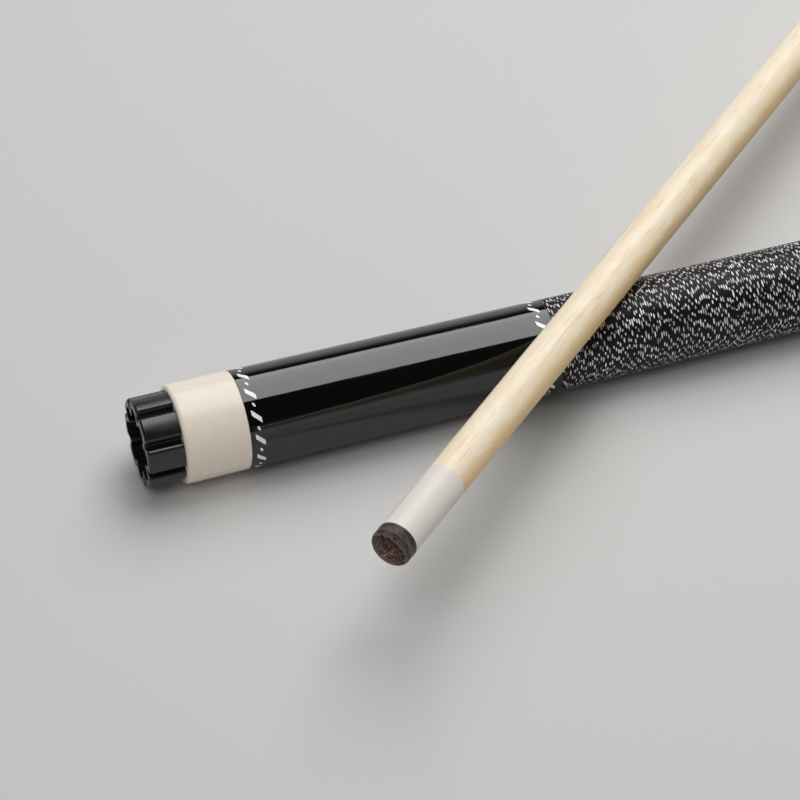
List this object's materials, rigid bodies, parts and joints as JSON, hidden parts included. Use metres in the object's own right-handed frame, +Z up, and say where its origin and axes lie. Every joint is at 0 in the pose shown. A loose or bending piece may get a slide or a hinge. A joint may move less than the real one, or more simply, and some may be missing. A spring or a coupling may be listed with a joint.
{
  "type": "pool cue",
  "caption": "Two-piece pool cue taken apart: black butt with speckled wrap, ivory cap and lobed rubber bumper, and a maple shaft lying across it.",
  "frame": {"origin": "on the floor, at the middle of the whole model's footprint box", "axes": "+Z up; the butt lies along +X, bumper at -X and joint pin at +X; the shaft lies across it, tip towards -Y and joint end towards +Y"},
  "size_m": [0.7768, 0.4934, 0.0489],
  "materials": {
    "bumper_rubber": "smooth semi-gloss moulded rubber",
    "ivory": "polished ivory-coloured resin",
    "ring_black": "gloss black with white slanted dashes and dots under clear coat",
    "black_lacquer": "high-gloss black lacquer over maple",
    "core_wood": "sealed maple",
    "wrap_cord": "tightly wound black cord with white specks, pressed and glazed",
    "steel": "bright machined steel",
    "brass": "machined brass",
    "tip_leather": "hard pressed leather, burnished side, scuffed crown",
    "pad_fibre": "vulcanised fibre",
    "ferrule_white": "smooth white resin",
    "maple": "satin-sealed hard maple"
  },
  "bodies": {
    "butt": {"butt_cap": "ivory", "rear_ring": "ring_black", "weight_bolt": "steel", "butt_sleeve": "black_lacquer", "front_ring": "ring_black", "handle_core": "core_wood", "wrap": "wrap_cord", "wrap_ring": "ring_black", "a_joint_screw": "steel", "forearm": "black_lacquer", "joint_ring": "ring_black", "joint_collar": "ivory", "joint_pin": "steel"},
    "bumper": {"bumper": "bumper_rubber"},
    "shaft": {"tip": "tip_leather", "tip_pad": "pad_fibre", "ferrule": "ferrule_white", "shaft_wood": "maple", "shaft_ring": "ring_black", "shaft_collar": "ivory", "shaft_insert": "brass"}
  },
  "joints": [
    {"name": "shaft_lift", "type": "slide", "parent": "butt", "child": "shaft", "axis": [0, 0, 1], "range_m": [0, 0.12]},
    {"name": "bumper_pull", "type": "slide", "parent": "butt", "child": "bumper", "axis": [-1, 0, 0.0069], "range_m": [0, 0.03]}
  ]
}
